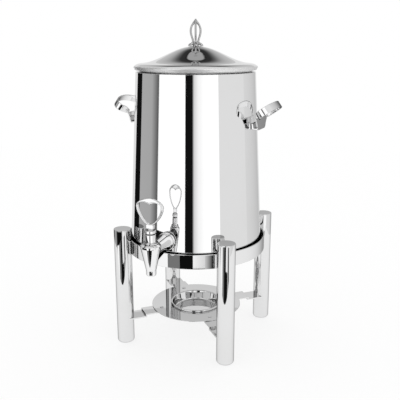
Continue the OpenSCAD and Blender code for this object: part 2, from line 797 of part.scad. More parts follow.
module lid_skirt() {
    flange_z = seat_z + lid_t;
    color(satin_colour) placed() rotate_extrude($fn = 128) polygon([
        [skirt_out_r - lid_t, seat_z - skirt_h], [skirt_out_r, seat_z - skirt_h], [skirt_out_r, flange_z],
        [hem_in_r + lid_t, flange_z], [hem_in_r + lid_t, flange_z + lid_t],
        [skirt_out_r - lid_t, flange_z + lid_t]
    ]);
}

// Half of one loop of the cage: the waist, then the pointed oval
function cage_half(t, top) =
    let (z = finial_h * cage_level_shares, waist = waist_w / 2 - t, side = cage_w / 2 - t)
    concat(
        [[waist, 0]],
        curve([waist, z[0]], [waist, z[1]], [side, z[2]], [side, z[3]]),
        curve([side, z[3]], [side, z[4]], [rib_t / 2, top - rib_t / 2], [0, top], 1)
    );

// Four leaves that splay out from the waist and lie on the lid
module finial_leaves(leaf_h) {
    leaf_z = finial_h * leaf_top_share;
    intersection() {
        rotate_extrude() polygon(concat(
            curve([petal_w / 2, 0], [petal_w / 2, leaf_z], [waist_w / 2 * leaf_curl_share, leaf_z],
                [waist_w / 2, leaf_h]),
            [[0, leaf_h], [0, 0]]
        ));
        for (a = [0, 90]) rotate([0, 0, a]) translate([-petal_w / 2, -leaf_w / 2, 0])
            cube([petal_w, leaf_w, leaf_h]);
    }
}

module finial() {
    root_h = finial_h * cage_level_shares[0];
    hole_h = root_h * finial_hole_share;
    color(steel_colour) placed() translate([0, 0, dome_z]) rotate([0, 0, finial_turn]) difference() {
        union() {
            for (a = [0, 90]) rotate([90, 0, a]) translate([0, 0, -rib_t / 2])
                linear_extrude(rib_t) difference() {
                    polygon(mirrored_open(cage_half(0, finial_h)));
                    polygon(mirrored_open([
                        for (p = cage_half(rib_t, finial_h - 2 * rib_t)) if (p[1] > root_h) p
                    ]));
                }
            finial_leaves(root_h);
            cylinder(r = finial_hub_r, h = root_h);
        }
        translate([0, 0, -over]) cylinder(r = finial_screw_r + fit_gap, h = hole_h + over);
    }
}
function mirrored_open(half) = concat(half, [for (i = [len(half) - 2 : -1 : 0]) [-half[i][0], half[i][1]]]);

module finial_washer() {
    color(rubber_colour) placed() translate([0, 0, dome_z - lid_t - washer_t]) difference() {
        cylinder(r = washer_r, h = washer_t);
        translate([0, 0, -over]) cylinder(r = finial_hole_r, h = washer_t + 2 * over);
    }
}

module finial_screw() {
    top = dome_z + finial_h * cage_level_shares[0] * finial_hole_share - screw_end_gap;
    under = dome_z - lid_t - washer_t;
    color(satin_colour) placed() translate([0, 0, under - screw_head_t]) {
        cylinder(r = screw_head_r, h = screw_head_t);
        cylinder(r = finial_screw_r, h = top - under + screw_head_t);
    }
}

leg_front_left();
leg_front_right();
leg_rear_left();
leg_rear_right();
leg_caps();
leg_inserts();
leg_feet();
stand_ring();
ring_screws();
brace_arm_front_left();
brace_arm_front_right();
brace_arm_rear_left();
brace_arm_rear_right();
fuel_disc();
fuel_cup();
disc_rivets();
urn_wall();
urn_base();
urn_neck_ring();
handle_bracket_left();
handle_bracket_right();
handle_loop_left();
handle_loop_right();
tap_body();
tap_flange();
tap_outer_seal();
tap_inner_seal();
tap_lock_nut();
tap_bonnet();
bonnet_gasket();
tap_plug();
plug_o_rings();
tap_key();
key_pin();
lid_shell();
lid_skirt();
finial();
finial_washer();
finial_screw();
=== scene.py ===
# %% [markdown]
# # A polished-steel coffee urn
#
# This lesson dresses a coffee urn that already exists as a measured model: a tapered tank
# in a ring on four pillar legs, with a domed lid, a finial, two strap handles and a tap.
# The measured model gives the places and sizes. What is made here is what the eye sees:
# rounded sheet edges, smooth turned curves, mirror-polished steel, and the studio that
# the steel mirrors, since a mirror has no look of its own.
#
# Everything is drawn in millimetres about the urn's centre line and brought to metres at
# the end, because a maker's drawing is read in millimetres.

# %% Load the measured model
import math
from collections import namedtuple

import bmesh
import bpy
from mathutils import Matrix, Vector
from mathutils.geometry import interpolate_bezier


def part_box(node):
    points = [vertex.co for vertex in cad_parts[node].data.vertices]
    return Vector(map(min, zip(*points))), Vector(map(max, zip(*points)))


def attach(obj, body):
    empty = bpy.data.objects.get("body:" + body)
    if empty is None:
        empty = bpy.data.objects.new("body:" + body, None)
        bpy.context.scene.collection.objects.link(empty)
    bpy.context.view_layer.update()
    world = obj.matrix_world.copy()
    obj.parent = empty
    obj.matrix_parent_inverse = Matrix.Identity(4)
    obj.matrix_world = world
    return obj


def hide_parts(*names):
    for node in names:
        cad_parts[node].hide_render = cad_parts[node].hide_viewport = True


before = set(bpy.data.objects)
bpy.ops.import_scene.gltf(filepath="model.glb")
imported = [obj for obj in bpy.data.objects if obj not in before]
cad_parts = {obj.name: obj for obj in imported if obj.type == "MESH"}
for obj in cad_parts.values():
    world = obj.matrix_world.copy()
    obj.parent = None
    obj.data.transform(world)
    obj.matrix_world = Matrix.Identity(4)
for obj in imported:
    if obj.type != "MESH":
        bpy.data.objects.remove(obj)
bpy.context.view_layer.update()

MM = 0.001
Size = namedtuple("Size", "r low high")


def middle_y(node):
    low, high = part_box(node)
    return (low.y + high.y) / 2


def measured(node):
    """How far a node reaches to the right, its foot and its top, in millimetres."""
    low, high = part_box(node)
    return Size(*(round(v / MM, 2) for v in (high.x, low.z, high.z)))


axis_y = middle_y("urn_neck_ring")
tap_y = middle_y("tap_bonnet") - axis_y
print("nodes:", len(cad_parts), "urn axis y:", round(axis_y, 4), "tap from it:", round(tap_y, 4))

# %% [markdown]
# ## Wires: shader maths as Python
#
# A finish is a small calculation: where am I on the steel, how hard was I polished here?
# In Blender each sum is a node. One small class wraps a node's output, so that `a * 2 + b`
# adds the Math nodes by itself. A second way, `node`, makes any other node from its type,
# its settings and what is plugged into it.

# %% The wire
RAMP_KEY = "stops"


class Wire:
    """An output of a shader node, or only the tree that nodes are added to."""

    def __init__(self, tree, socket=None):
        self.tree = tree
        self.socket = socket

    def node(self, kind, settings=None, inputs=None, out=0):
        made = self.tree.nodes.new(kind)
        for name, value in (settings or {}).items():
            if name == RAMP_KEY:
                self.set_stops(made.color_ramp, value)
            else:
                setattr(made, name, value)
        for name, value in (inputs or {}).items():
            if isinstance(value, Wire):
                self.tree.links.new(value.socket, made.inputs[name])
            else:
                made.inputs[name].default_value = value
        return Wire(self.tree, made.outputs[out])

    @staticmethod
    def set_stops(ramp, stops):
        while len(ramp.elements) < len(stops):
            ramp.elements.new(0.5)
        for element, (place, colour) in zip(ramp.elements, stops):
            element.position = place
            element.color = colour

    def maths(self, operation, first, second):
        return self.node("ShaderNodeMath", {"operation": operation}, {0: first, 1: second})

    def __add__(self, other):
        return self.maths("ADD", self, other)

    def __sub__(self, other):
        return self.maths("SUBTRACT", self, other)

    def __rsub__(self, other):
        return self.maths("SUBTRACT", other, self)

    def __mul__(self, other):
        return self.maths("MULTIPLY", self, other)

    __radd__ = __add__
    __rmul__ = __mul__


def grey(level):
    return (level, level, level, 1.0)


def new_finish(name):
    finish = bpy.data.materials.new(name)
    finish.use_nodes = True
    shader = finish.node_tree.nodes["Principled BSDF"]
    return finish, shader, Wire(finish.node_tree)


def plug(shader, **links):
    for name, wire in links.items():
        wire.tree.links.new(wire.socket, shader.inputs[name.replace("_", " ")])


print("reflected operators of a wire:", [name for name in vars(Wire) if name.startswith("__r")])

# %% [markdown]
# ## Finishes: polished, satin, rubber
#
# Buffet steel is polished with a wheel until it mirrors. It is never a perfect mirror:
# the wheel leaves hair-fine lines, the sheet keeps a slow waviness from rolling, and hands
# leave faint hazy patches. So the colour is nearly constant, the roughness is low and
# drifts, and two bumps work at two sizes: the waviness bends what is mirrored by a hair,
# and the wheel lines only soften it.
#
# On spun pieces the wheel lines run round, so the noise is stretched: low detail along
# the line, high detail across it. Castings have no such lines, only a more wavy skin. The
# lid's nose is too narrow for the wheel and stays dull. The neck in the dark gap under the
# lid gets a near-black steel tone: painted shade that stands in for the gap's shadow.

# %% Polished steel
STEEL_TONE, EDGE_TONE = 0.90, 0.8
SPUN_LINES, CAST_LINES = (3.0, 3.0, 260.0), (40.0, 40.0, 40.0)
NOSE_Z = 587.5
NOSE_DULL = ((NOSE_Z - 1) * MM, (NOSE_Z + 1) * MM, 0.38)


def polished(name, haze, wave, tone=STEEL_TONE, edge=EDGE_TONE, line_scale=SPUN_LINES, dull=None):
    """Mirror steel. Where dull is given, roughness is added below that height, in metres."""
    finish, shader, wire = new_finish(name)
    place = wire.node("ShaderNodeTexCoord", out="Object")
    stretched = wire.node("ShaderNodeMapping", {}, {"Vector": place, "Scale": line_scale})
    lines = wire.node("ShaderNodeTexNoise", {}, {"Vector": stretched, "Scale": 6.0, "Detail": 3.0})
    drift = wire.node("ShaderNodeTexNoise", {}, {"Vector": place, "Scale": 9.0, "Detail": 4.0})
    slow = wire.node("ShaderNodeTexNoise", {}, {"Vector": place, "Scale": 14.0, "Detail": 0.5})
    hands = wire.node(
        "ShaderNodeValToRGB",
        {RAMP_KEY: [(0.50, grey(0.0)), (0.72, grey(1.0))]},
        {"Fac": drift},
    )
    rough = haze * (0.55 + hands * 0.9 + lines * 0.5)
    if dull:
        low, high, amount = dull
        height = wire.node("ShaderNodeSeparateXYZ", {}, {"Vector": place}, out="Z")
        below = wire.node(
            "ShaderNodeMapRange",
            {},
            {"Value": height, "From Min": low, "From Max": high, "To Min": 1.0, "To Max": 0.0},
        )
        rough = rough + amount * below
    colour = wire.node(
        "ShaderNodeMix",
        {"data_type": "RGBA"},
        {
            "Factor": hands * 0.5 + lines * 0.3,
            6: (tone, tone, tone * 1.004, 1.0),
            7: (tone * 0.965, tone * 0.965, tone * 0.96, 1.0),
        },
        out=2,
    )
    waved = wire.node(
        "ShaderNodeBump", {}, {"Strength": wave, "Distance": 0.0002, "Height": slow}
    )
    lined = wire.node(
        "ShaderNodeBump",
        {},
        {"Strength": 0.04, "Distance": 0.00002, "Height": lines, "Normal": waved},
    )
    shader.inputs["Metallic"].default_value = 1.0
    shader.inputs["Specular Tint"].default_value = grey(edge)
    plug(shader, Base_Color=colour, Roughness=rough, Normal=lined)
    return finish


mirror_body = polished("mirror_body", haze=0.03, wave=0.05)
mirror_stand = polished("mirror_stand", haze=0.03, wave=0.10, tone=0.80, edge=0.35)
mirror_lid = polished("mirror_lid", haze=0.04, wave=0.06, dull=NOSE_DULL)
# The neck's near-black tone of 0.10 is painted shade for the shadow in the gap under the lid.
mirror_neck_painted_shade = polished("mirror_neck_painted_shade", haze=0.04, wave=0.06, tone=0.10)
mirror_cast = polished("mirror_cast", haze=0.05, wave=0.30, edge=0.10, line_scale=CAST_LINES)
mirror_tap = polished("mirror_tap", haze=0.04, wave=0.45, edge=0.05, line_scale=CAST_LINES)
mirror_finial = polished(
    "mirror_finial", haze=0.05, wave=0.40, tone=0.56, edge=0.05, line_scale=CAST_LINES
)
print("polished finishes:", [finish.name for finish in bpy.data.materials if "mirror" in finish.name])

# %% [markdown]
# Pieces that nobody polishes, such as the base pan's underside, the nuts and the screws,
# keep the satin of the rolled sheet. The haze is stronger and the lines show. Rubber is
# a matt skin with a fine grain and a little dust.

# %% Satin steel and rubber


def satin(name):
    finish, shader, wire = new_finish(name)
    place = wire.node("ShaderNodeTexCoord", out="Object")
    stretched = wire.node(
        "ShaderNodeMapping", {}, {"Vector": place, "Scale": (900.0, 12.0, 12.0)}
    )
    grain = wire.node("ShaderNodeTexNoise", {}, {"Vector": stretched, "Scale": 1.0, "Detail": 4.0})
    cloud = wire.node("ShaderNodeTexNoise", {}, {"Vector": place, "Scale": 22.0, "Detail": 3.0})
    rough = 0.20 + grain * 0.16 + cloud * 0.10
    colour = wire.node(
        "ShaderNodeMix",
        {"data_type": "RGBA"},
        {"Factor": grain * 0.6 + cloud * 0.4, 6: (0.58, 0.58, 0.585, 1.0), 7: grey(0.74)},
        out=2,
    )
    bumped = wire.node(
        "ShaderNodeBump", {}, {"Strength": 0.25, "Distance": 0.00004, "Height": grain}
    )
    shader.inputs["Metallic"].default_value = 1.0
    plug(shader, Base_Color=colour, Roughness=rough, Normal=bumped)
    return finish


def rubber(name, dark, light):
    finish, shader, wire = new_finish(name)
    place = wire.node("ShaderNodeTexCoord", out="Object")
    skin = wire.node("ShaderNodeTexNoise", {}, {"Vector": place, "Scale": 900.0, "Detail": 3.0})
    dust = wire.node("ShaderNodeTexNoise", {}, {"Vector": place, "Scale": 60.0, "Detail": 4.0})
    colour = wire.node(
        "ShaderNodeMix", {"data_type": "RGBA"}, {"Factor": dust, 6: grey(dark), 7: grey(light)}, out=2
    )
    rough = 0.55 + skin * 0.25
    bumped = wire.node(
        "ShaderNodeBump", {}, {"Strength": 0.3, "Distance": 0.0001, "Height": skin}
    )
    plug(shader, Base_Color=colour, Roughness=rough, Normal=bumped)
    return finish


satin_steel = satin("satin_steel")
foot_rubber = rubber("foot_rubber", 0.55, 0.72)
seal_rubber = rubber("seal_rubber", 0.035, 0.075)
print("plain finishes:", satin_steel.name, foot_rubber.name, seal_rubber.name)

# %% [markdown]
# ## Outlines
#
# Most of the urn is turned or spun on a lathe, so most pieces start as half of their
# section. `outline` takes the corners as (radius, height), and rounds a corner by its
# third number. Sheet edges get a small radius: a truly sharp edge catches no light and
# gives a model away.

# %% Corners, arcs and curves
CORNER_STEPS = 5


def outline(*corners, closed=True):
    places = [Vector(c[:2]) for c in corners]
    last = len(corners) - 1
    line = []
    for i, corner in enumerate(corners):
        here = places[i]
        if len(corner) < 3 or (not closed and i in (0, last)):
            line.append(here)
            continue
        back = (places[i - 1] - here).normalized()
        on = (places[(i + 1) % len(places)] - here).normalized()
        half = back.angle(on) / 2
        size = corner[2]
        centre = here + (back + on).normalized() * (size / math.sin(half))
        start = here + back * (size / math.tan(half)) - centre
        end = here + on * (size / math.tan(half)) - centre
        for s in range(CORNER_STEPS + 1):
            line.append(centre + size * start.slerp(end, s / CORNER_STEPS))
    return line


def arc(centre, wide, high, start, end, steps=12):
    turns = [math.radians(start + (end - start) * i / steps) for i in range(steps + 1)]
    return [Vector((centre[0] + wide * math.cos(a), centre[1] + high * math.sin(a))) for a in turns]


def curve(a, b, c, d, steps=24):
    return [p.xy for p in interpolate_bezier(*[Vector(p) for p in (a, b, c, d)], steps + 1)]


def beside(line, gap):
    """The same line moved to its right-hand side, as the inner face of a sheet is."""
    moved = []
    for i, here in enumerate(line):
        step = line[min(i + 1, len(line) - 1)] - line[max(i - 1, 0)]
        moved.append(here + gap * Vector((step.y, -step.x)).normalized())
    return moved


def straight(a, b, steps):
    a, b = Vector(a), Vector(b)
    return [a.lerp(b, i / steps) for i in range(steps + 1)]


print("a rounded corner is drawn with", CORNER_STEPS + 1, "points")

# %% [markdown]
# A lathe turns an outline about an upright line. `bmesh.ops.spin` does exactly that. With
# `use_merge` the last step closes on the first, and merging doubles afterwards closes the
# poles, where a point on the centre line was copied onto itself.

# %% The lathe, and putting a piece away
ROUND_STEPS, LARGE_STEPS = 160, 256
MERGE_GAP = 0.0005
SHARP_ANGLE = math.radians(32)


def lathe(bm, line, steps=ROUND_STEPS, closed=True):
    verts = [bm.verts.new((p.x, 0.0, p.y)) for p in line]
    ends = verts[1:] + (verts[:1] if closed else [])
    edges = [bm.edges.new(pair) for pair in zip(verts, ends)]
    bmesh.ops.spin(
        bm, geom=verts + edges, cent=(0, 0, 0), axis=(0, 0, 1), dvec=(0, 0, 0),
        angle=math.tau, steps=steps, use_merge=True,
    )
    bmesh.ops.remove_doubles(bm, verts=bm.verts, dist=MERGE_GAP)


def turned(line, steps=ROUND_STEPS, closed=True):
    bm = bmesh.new()
    lathe(bm, line, steps, closed)
    return bm


def swing(bm, degrees):
    bmesh.ops.rotate(bm, matrix=Matrix.Rotation(math.radians(degrees), 3, "Z"), verts=bm.verts)


def four_times(bm):
    """Copies what is drawn three more times round the centre line."""
    bmesh.ops.spin(
        bm, geom=bm.verts[:] + bm.edges[:] + bm.faces[:], cent=(0, 0, 0), axis=(0, 0, 1),
        dvec=(0, 0, 0), angle=math.radians(270), steps=3, use_duplicate=True,
    )


def mesh_from(bm, name, finish):
    mesh = bpy.data.meshes.new(name)
    bm.to_mesh(mesh)
    bm.free()
    mesh.materials.append(finish)
    return mesh


def put_away(bm, name, body, finish, replaces=(), at_tap=False):
    """Turns a finished bmesh in millimetres into a named piece that rides on its body."""
    bmesh.ops.recalc_face_normals(bm, faces=bm.faces)
    move = Matrix.Translation((0, axis_y + (tap_y if at_tap else 0), 0)) @ Matrix.Scale(MM, 4)
    bmesh.ops.transform(bm, matrix=move, verts=bm.verts)
    mesh = mesh_from(bm, name, finish)
    mesh.shade_smooth()
    mesh.set_sharp_from_angle(angle=SHARP_ANGLE)
    piece = bpy.data.objects.new(name, mesh)
    bpy.context.scene.collection.objects.link(piece)
    weigh = piece.modifiers.new("even_shading", "WEIGHTED_NORMAL")
    weigh.keep_sharp = True
    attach(piece, body)
    if replaces:
        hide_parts(*replaces)
    print(f"{name}: {len(mesh.polygons)} faces on {body}")


print("the lathe makes a full turn in", ROUND_STEPS, "steps, and in", LARGE_STEPS, "for the tank")

# %% [markdown]
# ## The legs
#
# Each leg is a tube of about 36 mm with its bottom edge rolled in, closed by a flat cap
# that is welded on and polished over. The ring sits a little way into the leg. A boolean
# could cut that saddle, but moving the points that lie inside the ring out to the ring's
# face makes the same hollow and keeps the mesh clean.

# %% Legs and caps
LEG_R, LEG_AT = 18.25, 165.0
LEG_STEPS = 96
FOOT_ROUND, SADDLE_EDGE = 5.5, 0.02
SEAM_H, SEAM_IN = 0.25, 0.2
LEG_TURNS = {"front_left": -135, "front_right": -45, "rear_left": 135, "rear_right": 45}
RING = measured("stand_ring")
LEG = measured("leg_front_left")
CAP_TOP = measured("leg_caps").high


def at_leg(turn):
    return Matrix.Rotation(math.radians(turn), 4, "Z") @ Matrix.Translation((LEG_AT, 0, 0))


for side, turn in LEG_TURNS.items():
    foot = outline((0, LEG.low), (LEG_R, LEG.low, FOOT_ROUND), (LEG_R, RING.low), closed=False)
    heights = (RING.low - SADDLE_EDGE, RING.low, RING.high, RING.high + SADDLE_EDGE)
    wall = [(LEG_R, z) for z in heights]
    top = [(LEG_R, LEG.high - SEAM_H), (LEG_R - SEAM_IN, LEG.high), (0, LEG.high)]
    bm = turned(foot[:-1] + [Vector(p) for p in wall + top], LEG_STEPS, closed=False)
    bmesh.ops.transform(bm, matrix=at_leg(turn), verts=bm.verts)
    for v in bm.verts:
        reach = v.co.xy.length
        if RING.low <= v.co.z <= RING.high and reach < RING.r:
            v.co.xy *= RING.r / reach
    put_away(bm, f"leg_tube_{side}", "stand", mirror_stand, [f"leg_{side}"])

cap = outline(
    (0, LEG.high), (LEG_R, LEG.high, SEAM_IN), (LEG_R, CAP_TOP, 0.8), (0, CAP_TOP), closed=False
)
bm = turned(cap, LEG_STEPS, closed=False)
bmesh.ops.transform(bm, matrix=at_leg(LEG_TURNS["rear_right"]), verts=bm.verts)
four_times(bm)
put_away(bm, "leg_tops", "stand", mirror_stand, ["leg_caps"])

# %% [markdown]
# ## The ring and the fuel holder
#
# The ring is a band with an inward ledge that the tank stands on. Below it hangs the fuel
# holder: four flat arms, stepped down by a press, carry a thin disc, and a cup with a rolled
# rim is sunk into the disc's middle. All are simple sections, so the lathe makes them.

# %% Ring, disc and cup
RING_STEPS, HOLDER_STEPS = 224, 192
RING_IN_R = RING.r - 2.4
LEDGE_IN_R, LEDGE_TOP = 134.6, RING.low + 2.5
DISC, DISC_HOLE_R = measured("fuel_disc"), 53.8
CUP, CUP_T = measured("fuel_cup"), 1.2
CUP_FOOT_R, CUP_ROUND, RIM_R = 49.5, 5.0, 2.2

ring = outline(
    (LEDGE_IN_R, RING.low, 0.5), (RING.r, RING.low, 0.7), (RING.r, RING.high, 0.9),
    (RING_IN_R, RING.high, 0.9), (RING_IN_R, LEDGE_TOP, 0.3), (LEDGE_IN_R, LEDGE_TOP, 0.5),
)
put_away(turned(ring, RING_STEPS), "stand_band", "stand", mirror_stand, ["stand_ring"])

disc = outline(
    (DISC_HOLE_R, DISC.low), (DISC.r, DISC.low, 0.6), (DISC.r, DISC.high, 0.6), (DISC_HOLE_R, DISC.high)
)
put_away(turned(disc, HOLDER_STEPS), "fuel_plate", "stand", mirror_stand, ["fuel_disc"])

rim_at, rim_z = CUP.r - RIM_R, CUP.high - RIM_R
floor_z = CUP.low + CUP_T
cup_outside = outline(
    (0, CUP.low), (CUP_FOOT_R, CUP.low, CUP_ROUND), (DISC_HOLE_R - 0.1, DISC.high), closed=False
)
cup_inside = outline(
    (rim_at - RIM_R, rim_z), (CUP_FOOT_R - CUP_T, floor_z, CUP_ROUND - CUP_T), (0, floor_z), closed=False
)
cup = cup_outside + arc((rim_at, rim_z), RIM_R, RIM_R, -90, 180, 18) + cup_inside[1:]
bm = turned(cup, HOLDER_STEPS, closed=False)
put_away(bm, "fuel_well", "stand", mirror_stand, ["fuel_cup"])

# %% [markdown]
# An arm is a flat bar with a step, so it starts as its side view, is extruded across, and
# has its long edges broken by a small bevel, as a file breaks them in the shop.

# %% Brace arms
ARM, ARM_T, ARM_W = measured("brace_arm_front_left"), 3.0, 36.0
ARM_IN, ARM_STEP, ARM_OUT = 60.0, 121.0, 163.0
ARM_SIDE = [
    (ARM_IN, ARM.high), (ARM_IN, ARM.high - ARM_T), (ARM_STEP, ARM.high - ARM_T), (ARM_STEP, ARM.low),
    (ARM_OUT, ARM.low), (ARM_OUT, ARM.low + ARM_T), (ARM_STEP + ARM_T, ARM.low + ARM_T),
    (ARM_STEP + ARM_T, ARM.high),
]


def long_edges(bm, least=math.radians(40)):
    return [e for e in bm.edges if len(e.link_faces) == 2 and e.calc_face_angle() > least]


def broken_edges(bm, size, segments=2, edges=None):
    bmesh.ops.bevel(
        bm, geom=edges or long_edges(bm), offset=size, offset_type="OFFSET", segments=segments,
        profile=0.5, affect="EDGES", material=-1, clamp_overlap=True,
    )


def push(bm, pushed, way):
    moved = [g for g in pushed if isinstance(g, bmesh.types.BMVert)]
    bmesh.ops.translate(bm, vec=way, verts=moved)


def slab(bm, points, way):
    """A flat face through the points, pushed out along the way given."""
    face = bm.faces.new([bm.verts.new(p) for p in points])
    push(bm, bmesh.ops.extrude_face_region(bm, geom=[face])["geom"], way)
    bmesh.ops.recalc_face_normals(bm, faces=bm.faces)


def bar(bm, side_view, width):
    """A side view in X and Z, extruded along Y to both sides of the middle."""
    slab(bm, [(x, -width / 2, z) for x, z in side_view], (0, width, 0))


for side, turn in LEG_TURNS.items():
    bm = bmesh.new()
    bar(bm, ARM_SIDE, ARM_W)
    broken_edges(bm, 0.5)
    swing(bm, turn)
    put_away(bm, f"arm_{side}", "stand", mirror_stand, [f"brace_arm_{side}"])

# %% [markdown]
# ## The tank
#
# The tank wall is one sheet rolled into a cone, with a small rounded shoulder spun in at
# the top and a lip turned in at the foot. Its outline goes up the outside, over the
# shoulder to the neck, and back down inside. The long straight side is cut into short
# steps, so that the shading near the rounded shoulder can't creep down the wall.

# %% Tank wall and neck
WALL, WALL_T = measured("urn_wall"), 1.2
NECK = measured("urn_neck_ring")
TOP_R, SHOULDER_RISE = 123.1, 1.5
FOOT_LIP_R, MOUTH_R, NECK_IN_R = 135.6, 113.7, 112.45
CONE_STEPS = 30
shoulder_z = WALL.high - SHOULDER_RISE
cone_z = WALL.low + 4


def wall_at(z):
    """The tank's outer radius at a height."""
    return WALL.r + (TOP_R - WALL.r) * (z - WALL.low) / (shoulder_z - WALL.low)


shoulder = (NECK.r, shoulder_z)
shoulder_w = TOP_R - NECK.r
outside = (
    outline((FOOT_LIP_R, WALL.low), (WALL.r, WALL.low, 1.0), (wall_at(cone_z), cone_z), closed=False)
    + straight((wall_at(cone_z), cone_z), (TOP_R, shoulder_z), CONE_STEPS)[1:]
    + arc(shoulder, shoulder_w, SHOULDER_RISE, 0, 90)[1:]
    + [Vector((MOUTH_R, WALL.high))]
)
pan_z = WALL.low + WALL_T
inside = (
    [Vector((MOUTH_R, WALL.high - WALL_T))]
    + arc(shoulder, shoulder_w - WALL_T, SHOULDER_RISE - WALL_T, 90, 0)
    + straight((TOP_R - WALL_T, shoulder_z), (wall_at(pan_z) - WALL_T, pan_z), CONE_STEPS)[1:]
    + [Vector((FOOT_LIP_R, pan_z))]
)
put_away(turned(outside + inside, LARGE_STEPS), "tank_wall", "urn", mirror_body, ["urn_wall"])

neck_out_r = NECK_IN_R + WALL_T
neck = outline(
    (NECK_IN_R, NECK.low, 0.4), (neck_out_r, NECK.low, 0.4), (neck_out_r, WALL.high), (NECK.r, WALL.high),
    (NECK.r, NECK.high, 0.4), (NECK_IN_R, NECK.high, 0.8),
)
put_away(turned(neck, RING_STEPS), "tank_neck", "urn", mirror_neck_painted_shade, ["urn_neck_ring"])

# %% [markdown]
# ## The lid
#
# The lid is spun from one sheet: a flat seat for the finial, a dome that swings out from
# round to hollow, and a brim that falls to a thin nose. Below the nose a narrow lip is
# turned in and under, down to a hem that rests on the neck. The dome is one cubic curve
# and the brim another with the same slope where they meet, so there is no kink to break
# the mirrored shapes.

# %% Lid shell and skirt
LID, LID_T = measured("lid_shell"), 1.0
SKIRT, SKIRT_IN_R = measured("lid_skirt"), 110.95
SCREW_HOLE_R, SEAT_R = 2.75, 5.0
BRIM_R, BRIM_Z, NOSE_R = 109.5, 593.1, 125.8
BRIM_FALL, NOSE_FALL = math.tan(math.radians(5)), math.tan(math.radians(38))
SEAT_RUN, SWING_RUN, BRIM_RUN = 0.39 * BRIM_R, 0.35 * BRIM_R, 0.36 * (NOSE_R - BRIM_R)
EDGE_Z, LIP_R = 586.3, LID.r - 2.2
HEM_OUT_R, HEM_IN_R = 115.95, 112.95

dome = curve(
    (0, LID.high), (SEAT_RUN, LID.high), (BRIM_R - SWING_RUN, BRIM_Z + SWING_RUN * BRIM_FALL),
    (BRIM_R, BRIM_Z), 56,
)
brim = curve(
    (BRIM_R, BRIM_Z), (BRIM_R + BRIM_RUN, BRIM_Z - BRIM_RUN * BRIM_FALL),
    (NOSE_R - BRIM_RUN, NOSE_Z + BRIM_RUN * NOSE_FALL), (NOSE_R, NOSE_Z),
)
lid_outer = [Vector((SCREW_HOLE_R, LID.high))] + [p for p in dome if p.x > SEAT_R] + brim[1:-1]
lid_inner = beside(lid_outer, LID_T)
lid_inner[0].x = SCREW_HOLE_R
hem_z = LID.low + LID_T
lip = outline(
    brim[-2], (NOSE_R, NOSE_Z, 0.4), (LID.r, EDGE_Z, 0.4), (LID.r, EDGE_Z - LID_T, 0.4),
    (LIP_R, hem_z + LID_T, 0.6), (HEM_OUT_R, hem_z, 0.3), (HEM_OUT_R, LID.low), closed=False,
)[1:]
hem = [
    (HEM_IN_R, LID.low), (HEM_IN_R, hem_z), (HEM_OUT_R - LID_T, hem_z), (HEM_OUT_R - LID_T, hem_z + LID_T),
    (LIP_R - LID_T, hem_z + 2 * LID_T), (LID.r - LID_T, EDGE_Z - 0.6),
]
shell = lid_outer + lip + [Vector(p) for p in hem] + lid_inner[::-1]
put_away(turned(shell, LARGE_STEPS), "lid_dome", "lid", mirror_lid, ["lid_shell"])

skirt_out_r, flange_z = SKIRT_IN_R + LID_T, SKIRT.high - LID_T
skirt = outline(
    (SKIRT_IN_R, SKIRT.low, 0.4), (skirt_out_r, SKIRT.low, 0.4), (skirt_out_r, flange_z),
    (SKIRT.r, flange_z), (SKIRT.r, SKIRT.high), (SKIRT_IN_R, SKIRT.high),
)
put_away(turned(skirt, RING_STEPS), "lid_guide", "lid", satin_steel, ["lid_skirt"])

# %% [markdown]
# ## Ribs and bands
#
# The finial and the tap's key are cast: smooth bands that swell and taper. A band is made
# as a boat builder makes a hull: rings are set up along it, each as wide and as thick as
# the casting is there, and the skin is stretched from ring to ring with `bridge_loops`.

# %% Rings along a band
BAND_SIDES = 20


def edges_of(verts):
    return list({e for v in verts for e in v.link_edges})


def set_ring(bm, inner, outer, thick, square=0.8):
    """A closed ring of edges that spans inner to outer (x, z) and is thick along Y."""
    made = bmesh.ops.create_circle(bm, segments=BAND_SIDES, radius=1.0, cap_ends=False)["verts"]
    centre, half = (inner + outer) / 2, (outer - inner) / 2
    for v in made:
        across = math.copysign(abs(v.co.x) ** square, v.co.x)
        depth = math.copysign(abs(v.co.y) ** square, v.co.y)
        v.co = (centre.x + half.x * across, depth * thick / 2, centre.y + half.y * across)
    return edges_of(made)


def skin(bm, rings, closed=False):
    pairs = zip(rings, rings[1:] + (rings[:1] if closed else []))
    for first, second in pairs:
        bmesh.ops.bridge_loops(bm, edges=first + second)


print("each ring of a band has", BAND_SIDES, "sides")

# %% [markdown]
# The finial is a cage of four ribs that meet in a point. Each rib ends below in a leaf
# that lies on the lid and narrows to a waist. One rib with its leaf is enough: `spin`
# copies it three times. A low hub in the middle takes the screw from below.

# %% The finial
FINIAL = measured("finial")
FINIAL_H = FINIAL.high - FINIAL.low - 0.01
FINIAL_TURN = 24
RIB_T, RIB_SIDE = 4.2, 12.0
RIB_LEAVES, RIB_NEARS, RIB_WIDEST, RIB_CLOSES = (share * FINIAL_H for share in (0.27, 0.38, 0.56, 0.78))
TIP_BLUNT = 1.6
WAIST_R, WAIST_Z = 7.5, 8.45
LEAF_TIP, LEAF_H, LEAF_STEPS = 15.4, 5.28, 14
LEAF_WIDTHS = [5.4, 6.6, 7.0, 7.0, 7.0, 7.0, 7.0, 6.8, 6.5, 6.1, 5.6, 5.1, 4.6, 4.3]
HUB_R, HUB_H, HUB_LIFT = 6.0, 8.4, 0.02


def rib_line(tip_z, inward):
    """From the waist out to the widest place and in to the pointed top."""
    waist, side = WAIST_R - inward, RIB_SIDE - inward
    return (
        curve((waist, WAIST_Z), (waist, RIB_LEAVES), (side, RIB_NEARS), (side, RIB_WIDEST), 16)
        + curve((side, RIB_WIDEST), (side, RIB_CLOSES), (TIP_BLUNT, tip_z - TIP_BLUNT), (0, tip_z), 20)[1:]
    )


